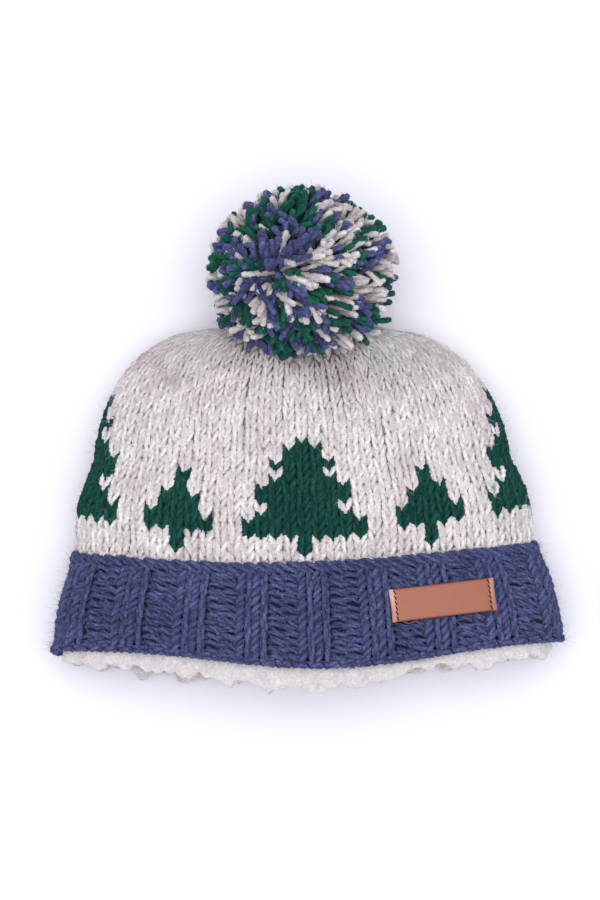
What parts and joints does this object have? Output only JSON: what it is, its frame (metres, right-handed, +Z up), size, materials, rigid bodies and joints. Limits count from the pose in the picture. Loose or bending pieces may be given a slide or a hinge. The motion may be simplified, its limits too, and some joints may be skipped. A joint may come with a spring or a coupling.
{
  "type": "bobble hat",
  "caption": "Knitted bobble hat lying flat on its back: gathered crown, ribbed band with a blank leather label, fleece lining at the rim and a yarn pompom.",
  "frame": {"origin": "middle of the footprint, on the surface that the hat lies on", "axes": "Z up through the front of the lying hat, Y from the rim to the pompom, X to the wearer's left side of the front view"},
  "size_m": [0.2456, 0.2416, 0.0785],
  "materials": {
    "oatmeal_wool": "stockinette knitted wool with green figures",
    "blue_wool": "two by two ribbed wool",
    "white_fleece": "polar fleece",
    "tan_leather": "smooth vegetable tanned",
    "mixed_wool": "cut yarn in green, blue and oatmeal"
  },
  "bodies": {
    "root": {"crown": "oatmeal_wool", "band": "blue_wool", "lining": "white_fleece", "label": "tan_leather", "pompom": "mixed_wool"}
  },
  "joints": []
}
